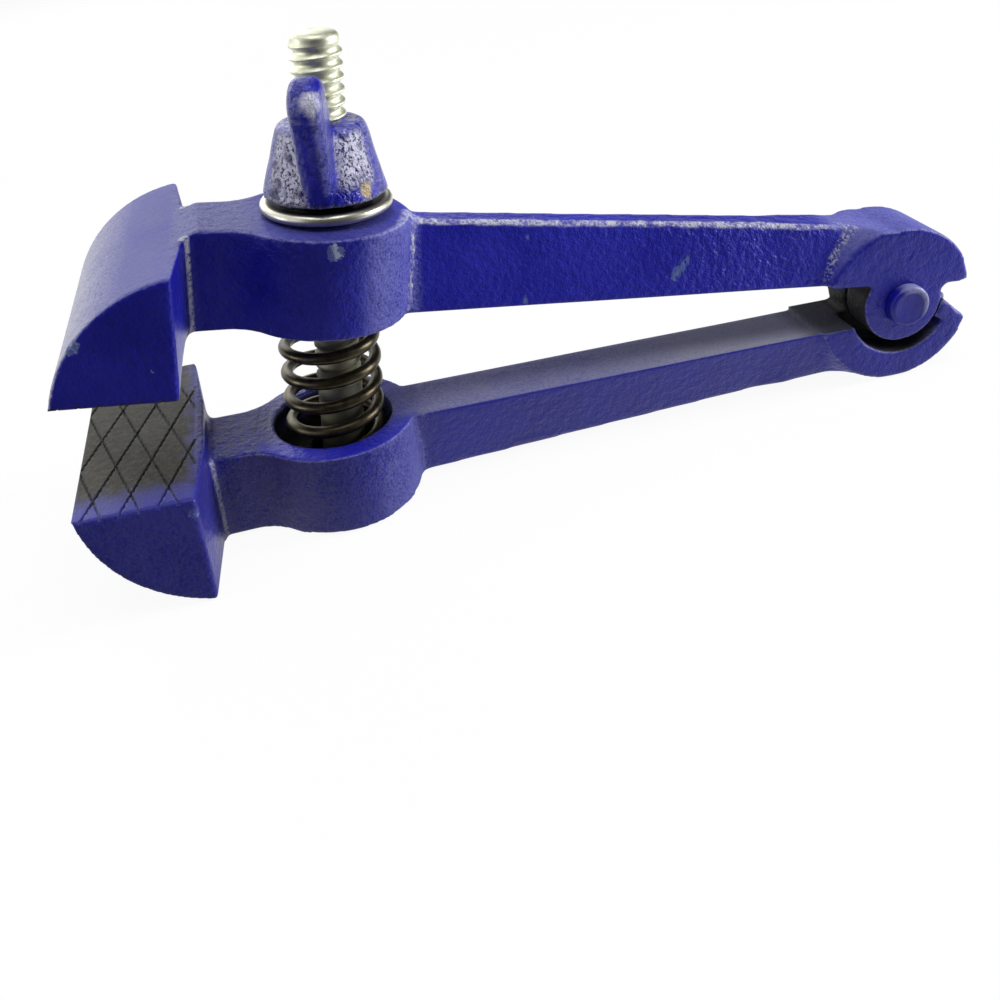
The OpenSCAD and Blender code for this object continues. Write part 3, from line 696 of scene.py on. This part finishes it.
# wings: where each stands and how thick it is; the painted glint patches: angle, narrowness, lowest height and strength
# of a patch
nut = {"foot": 9.4, "top": 6.5, "high": 10.7, "round": 1.4, "roundSteps": 8, "seatRadius": 7.0, "seatHigh": 0.9,
       "steps": 96, "at": 53.0479, "wings": ((0, 4.9), (180, 3.7)), "wingX": 13.0, "wingZ": 15.8, "wingRadius": 4.0,
       "wingTurn": 12, "wingRoot": 4.6, "wingLow": 1.0, "wingFoot": 0.5, "wingTop": 0.6, "wingArc": range(-22, 134, 8),
       "wingEdge": 1.7, "paintedSheen": ((-137, 0.93, -2.0, 1.0), (-60, 0.95, 2.5, 0.88)), "patch": (-2.6, -16.6, 16.9),
       "chip": (5.4, -7.1, 1.7), "mouth": (4.6, 0.4, 10.7), "voxel": 0.28 * mm, "rounds": 4, "hollowRounds": 14,
       "edgeFull": 0.12 * mm, "wave": 0.10 * mm, "waveScale": 1 / (3.2 * mm), "waveShift": 0.5}


def conePoints():
    lean = math.atan2(nut["foot"] - nut["top"], nut["high"])
    points = [(0.0, -nut["seatHigh"]), (nut["seatRadius"], -nut["seatHigh"]), (nut["seatRadius"], 0.0),
              (nut["foot"], 0.0)]
    midZ = nut["high"] - nut["round"]
    midX = nut["foot"] - (nut["round"] + math.sin(lean) * midZ) / math.cos(lean)
    for count in range(nut["roundSteps"] + 1):
        angle = lean + (math.pi / 2 - lean) * count / nut["roundSteps"]
        points.append((midX + nut["round"] * math.cos(angle), midZ + nut["round"] * math.sin(angle)))
    return points + [(0.0, nut["high"])]


# adds a wing: a round-ended outline, thickened and rolled over at its edges
def addWing(bm, turn, thick):
    part = bmesh.new()
    tip = Vector((nut["wingX"], nut["wingZ"]))
    outline = [Vector((nut["wingRoot"], nut["wingLow"])), Vector((nut["foot"] - nut["wingFoot"], nut["wingLow"]))]
    outline += [tip + nut["wingRadius"] * Vector((math.cos(math.radians(a)), math.sin(math.radians(a))))
                for a in nut["wingArc"]]
    outline.append(Vector((nut["wingRoot"], nut["high"] - nut["wingTop"])))
    part.faces.new([part.verts.new((point.x * mm, thick / 2 * mm, point.y * mm)) for point in outline])
    grown = bmesh.ops.extrude_face_region(part, geom=part.faces[:], use_keep_orig=True)
    bmesh.ops.translate(part, vec=(0, -thick * mm, 0), verts=onlyVerts(grown["geom"]))
    bmesh.ops.recalc_face_normals(part, faces=part.faces)
    rims = [edge for edge in part.edges if abs(edge.verts[0].co.y - edge.verts[1].co.y) < 0.1 * mm]
    bmesh.ops.bevel(part, geom=rims, offset=nut["wingEdge"] * mm, offset_type="OFFSET", affect="EDGES",
                    segments=5, profile=0.5, material=-1, clamp_overlap=True)
    part.transform(Matrix.Rotation(math.radians(turn - 90 - nut["wingTurn"]), 4, "Z"))
    mesh = bpy.data.meshes.new("wing")
    part.to_mesh(mesh)
    part.free()
    bm.from_mesh(mesh)
    bpy.data.meshes.remove(mesh)


def nutPiece():
    bm = bmesh.new()
    spinProfile(bm, conePoints(), nut["steps"])
    for turn, thick in nut["wings"]:
        addWing(bm, turn, thick)
    bm = reskin(bm, nut["voxel"])
    bm.normal_update()
    soften(bm, nut["rounds"], nut["hollowRounds"], nut["edgeFull"])
    bm.normal_update()
    for vert in bm.verts:
        lift = noise.noise(vert.co * nut["waveScale"]) - nut["waveShift"]
        vert.co += vert.normal * nut["wave"] * max(-1.0, min(0.0, lift))
    bm.transform(boltFrame @ Matrix.Translation((0, 0, nut["at"] * mm)))
    return makePiece("wingNut", bm, nutFinish(), "nut_body", "wing_nut")


def nutFinish():
    use = Finish(bpy.data.materials.new("blue enamel, wing nut"))
    spot = use.place(tuple(boltFrame @ Vector((0, 0, nut["at"] * mm))), (0, math.radians(boltLean), 0))
    x, y, z = use.split(spot)
    edge = use.add("ShaderNodeAttribute", {"attribute_name": "edge"}, out="Fac")
    pit = use.grain(spot, 0.75, 3.0, 0.6, 0.4)
    grit = use.grain(spot, 2.6, 2.0, 0.6)
    colour = use.tint(use.ease(pit, 0.35, 0.65), blue["deep"], blue["fresh"])
    # painted glints in frosted, finely pitted patches on the cone beside the front wing, with painted shade in their
    # pits, and a painted highlight under that wing's round end
    paintedSheen = 0.0
    for angle, narrow, foot, weight in nut["paintedSheen"]:
        toward = x * math.cos(math.radians(angle)) + y * math.sin(math.radians(angle))
        patch = use.ease(toward - use.root(x * x + y * y) * narrow, -0.5, 0.3) * use.ease(z, 10.5, 9.0)
        paintedSheen = use.most(patch * use.ease(z + pit * 2.0, foot, foot + 2.0) * weight, paintedSheen)
    wing = use.ease(use.far(spot, nut["patch"]) + pit * 2.6, 3.4, 2.0)
    pitted = use.ease(use.grain(spot, 2.1, 3.0, 0.6), 0.38, 0.52)
    # painted shade under the glint patches, left dark in their pits
    colour = use.tint(paintedSheen * 0.8, colour, blue["shadeNavy"])
    paintedSheen = use.most(paintedSheen * pitted * use.ease(use.grain(spot, 0.35, 2.0, 0.5), 0.30, 0.48), wing)
    colour = use.tint(paintedSheen * 0.96, colour, blue["paleGlint"])
    # a painted highlight along the wings' edges
    edgeHighlight = use.ease(edge, -0.05, -0.32) * use.ease(z, 18.6, 17.0)
    colour = use.tint(edgeHighlight * use.ease(pit, 0.25, 0.55) * 0.7, colour, blue["pale"])
    # painted shade at the nut's foot
    colour = use.tint(use.ease(z + pit, 1.6, 0.5) * 0.75, colour, blue["shadeNavy"])
    rubbed = use.ease(edge, -0.25, -0.8) * use.ease(use.grain(spot, 0.8, 4.0, 0.7), 0.44, 0.60)
    colour = use.tint(rubbed * 0.5, colour, blue["primer"])
    chip = use.ease(use.far(spot, nut["chip"]) + pit * 2.0, 2.3, 1.8)
    colour = use.tint(chip, colour, blue["tan"])
    mouth = use.ease(use.far(spot, nut["mouth"]), 1.2, 0.7)
    colour = use.tint(mouth, colour, blue["black"])
    rough = 0.16 + grit * 0.12 + paintedSheen * 0.2
    normal = use.bump(pit + grit * 0.2 + paintedSheen * pitted * 0.25, 0.6 * mm, 0.9)
    return use.close(colour=colour, rough=rough, normal=normal, ior=1.5)


nutPiece()

rivet = {"radius": 3.64, "shank": 2.7, "seat": 6.35, "high": 2.08, "rim": 0.7, "rimSteps": 8, "rimArc": 86,
         "rimLow": 0.08, "footIn": 0.1, "footUp": 0.2, "dish": 0.22, "dishFrom": (2.70, 0.10), "dishTo": 2.30,
         "steps": 72}


def rivetPiece():
    bm = bmesh.new()
    wide, seat, rim = rivet["radius"], rivet["seat"], rivet["rim"]
    crown = seat + rivet["high"]
    head = [(rivet["shank"], seat), (wide - rivet["footIn"], seat), (wide, seat + rivet["footUp"])]
    for count in range(rivet["rimSteps"] + 1):
        angle = math.radians(rivet["rimArc"] * count / rivet["rimSteps"])
        head.append((wide - rim + rim * math.cos(angle), crown - rivet["rimLow"] - rim + rim * math.sin(angle)))
    edge, drop = rivet["dishFrom"]
    head += [(edge, crown - drop), (rivet["dishTo"], crown - rivet["dish"]), (0.0, crown - rivet["dish"])]
    spinProfile(bm, [(r, -z) for r, z in reversed(head)] + head, rivet["steps"])
    bm.transform(Matrix.Translation(hinge) @ Matrix.Rotation(math.pi / 2, 4, "X"))
    return makePiece("rivetPin", bm, rivetFinish(), "lower_body", "hinge_rivet")


def rivetFinish():
    use = Finish(bpy.data.materials.new("blue enamel, rivet"))
    spot = use.place(tuple(hinge))
    x, _, z = use.split(spot)
    peel = use.grain(spot, 0.8, 3.0, 0.55)
    colour = use.tint(use.ease(peel, 0.35, 0.65) * 0.4, blue["deep"], blue["fresh"])
    # a painted highlight on the rim's upper right, and a faint one on the dish
    ring = use.ease(use.root(x * x + z * z), 2.3, 2.8)
    lit = ring * use.ease(x * 0.8 + z * 0.6, 0.0, 2.0) * use.ease(peel, 0.20, 0.45)
    lit = use.most(lit, (1 - ring) * use.ease(x - z, 0.5, 3.0) * 0.1)
    colour = use.tint(lit * 0.55, colour, blue["pale"])
    return use.close(colour=colour, rough=0.30 + peel * 0.1, normal=use.bump(peel, 0.18 * mm, 0.7), ior=1.42)


rivetPiece()

coil = {"wire": 0.98, "mean": 7.1, "turns": 5.25, "start": 200, "centre": 97.65, "floor": 8.4, "roof": 3.4,
        "clear": 0.1, "steps": 64, "sides": 14, "tall": 18.0, "blendFrom": -13.0, "blendTo": 8.0}


# a straight coil along z
def windCoil(bm):
    bmesh.ops.create_circle(bm, cap_ends=True, segments=coil["sides"], radius=coil["wire"] * mm)
    place = Matrix.Rotation(math.radians(coil["start"]), 4, "Z") @ Matrix.Translation((coil["mean"] * mm, 0, 0))
    bm.transform(place @ Matrix.Rotation(math.pi / 2, 4, "X"))
    steps = round(coil["steps"] * coil["turns"])
    bmesh.ops.spin(bm, geom=bm.verts[:] + bm.edges[:] + bm.faces[:], cent=(0, 0, 0), axis=(0, 0, 1),
                   dvec=(0, 0, coil["tall"] * mm / steps), angle=2 * math.pi * coil["turns"], steps=steps)
    bmesh.ops.remove_doubles(bm, verts=bm.verts, dist=0.003 * mm)


# from a straight coil to the wedge between the two bosses
def wedgeCoil(bm):
    slope, away = math.tan(halfOpen), math.cos(halfOpen)
    edge = (coil["wire"] + coil["clear"]) * mm
    tall = coil["tall"] * mm
    for vert in bm.verts:
        x = vert.co.x - coil["centre"] * mm
        low = x * slope - coil["floor"] * mm / away + edge
        high = -x * slope + coil["roof"] * mm / away - edge
        angle = math.degrees(math.atan2(vert.co.y, vert.co.x)) - coil["start"]
        turnNow = round(vert.co.z / tall * coil["turns"] - (angle / 360 % 1))
        along = max(0.0, min(1.0, (turnNow + angle / 360 % 1) / coil["turns"]))
        own = vert.co.z - along * tall
        vert.co = Vector((x, vert.co.y, low + (high - low) * along + own))


def springPiece():
    bm = bmesh.new()
    windCoil(bm)
    wedgeCoil(bm)
    bmesh.ops.recalc_face_normals(bm, faces=bm.faces)
    bm.transform(middleFrame)
    use = Finish(bpy.data.materials.new("oiled spring steel"))
    stain = use.grain(use.place(), 0.5, 4.0, 0.6)
    colour = use.tint(use.ease(stain, 0.35, 0.7), steel["spring"], steel["worn"])
    finish = use.close(colour=colour, rough=0.27 + stain * 0.15, metal=0.9)
    piece = makePiece("coilSpring", bm, finish, None, "spring")
    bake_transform(piece)
    return piece


springPiece()

# stage: a pale floor that fades into the white background; mirrors see it dim on the camera's side
studio = {"fill": 0.12, "floor": (0.55, 0.55, 0.55, 1), "floorHalf": 6.0, "white": 0.86, "glow": 1.09, "dim": 0.05,
          "front": 0.08, "aim": (-0.02, 0, 0.03)}

# soft boxes: name, place, width and height in metres, and how bright their faces look
boxes = (("back box", (-0.25, 0.62, 0.34), (0.75, 0.46), 1.5), ("overhead box", (0.00, -0.10, 0.62), (0.36, 0.36), 4.2),
         ("right box", (0.66, -0.06, 0.20), (0.22, 0.34), 17.0), ("left strip", (-0.60, 0.00, 0.10), (0.14, 0.19), 7.0))


def rays(use):  # what the camera sees itself, and what it sees in a mirror or through glass
    seen = use.add("ShaderNodeLightPath", out="Is Camera Ray")
    glossy = use.add("ShaderNodeLightPath", out="Is Glossy Ray")
    return seen, use.most(glossy, use.add("ShaderNodeLightPath", out="Is Transmission Ray"))


def floorPiece():
    bm = bmesh.new()
    bmesh.ops.create_grid(bm, x_segments=1, y_segments=1, size=studio["floorHalf"])
    mesh = bpy.data.meshes.new("floor")
    bm.to_mesh(mesh)
    bm.free()
    use = Finish(bpy.data.materials.new("pale floor"))
    seen, mirrored = rays(use)
    x, y, _ = use.split(use.place())
    behind = use.ease(y + x * 0.5, -75.0, -15.0)
    matte = use.add("ShaderNodeBsdfDiffuse", {}, {"Color": studio["floor"]})
    bright = use.add("ShaderNodeEmission", {}, {"Color": (1, 1, 1, 1), "Strength": studio["glow"]})
    dull = use.add("ShaderNodeEmission", {}, {"Color": (1, 1, 1, 1), "Strength": studio["dim"]})
    glow = use.add("ShaderNodeMixShader", {}, {0: mirrored * (1 - behind), 1: bright, 2: dull})
    both = use.add("ShaderNodeMixShader", {}, {0: seen * studio["white"] + mirrored, 1: matte, 2: glow})
    use.add("ShaderNodeOutputMaterial", {}, {"Surface": both})
    mesh.materials.append(use.owner)
    floor = bpy.data.objects.new("floor", mesh)
    bpy.context.scene.collection.objects.link(floor)


def softLamp(name, place, size, radiance):
    data = bpy.data.lights.new(name, "AREA")
    data.shape, data.size, data.size_y = "RECTANGLE", size[0], size[1]
    data.energy = math.pi * size[0] * size[1] * radiance
    lamp = bpy.data.objects.new(name, data)
    lamp.location = place
    lamp.rotation_euler = (Vector(studio["aim"]) - Vector(place)).to_track_quat("-Z", "Y").to_euler()
    lamp.visible_camera = False
    bpy.context.scene.collection.objects.link(lamp)


def studioPieces():
    floorPiece()
    world = bpy.data.worlds.new("studio")
    bpy.context.scene.world = world
    use = Finish(world)
    seen, mirrored = rays(use)
    x, y, _ = use.split(use.add("ShaderNodeTexCoord", out="Generated"))
    behind = use.ease(y - x * 1.6, 0.2, 0.75, studio["front"], 1.0)
    level = seen + (1 - seen) * (mirrored * behind + (1 - mirrored) * studio["fill"])
    backing = use.add("ShaderNodeBackground", {}, {"Color": (1, 1, 1, 1), "Strength": level})
    use.add("ShaderNodeOutputWorld", {}, {"Surface": backing})
    for name, place, size, radiance in boxes:
        softLamp(name, place, size, radiance)
    bpy.context.scene.view_settings.view_transform = "Standard"


studioPieces()
print("stage made")

shot = {"place": (-0.03882, -0.15288, 0.10243), "turn": (66.074, 7.462, -12.369), "lens": 38.426,
        "sensor": 36.0, "shift": (0.0518, -0.2268), "nearest": 0.005}
eye = bpy.data.cameras.new("eye")
eye.lens, eye.sensor_width = shot["lens"], shot["sensor"]
eye.shift_x, eye.shift_y = shot["shift"]
eye.clip_start = shot["nearest"]
camera = bpy.data.objects.new("eye", eye)
camera.location = shot["place"]
camera.rotation_euler = [math.radians(angle) for angle in shot["turn"]]
bpy.context.scene.collection.objects.link(camera)
bpy.context.scene.camera = camera
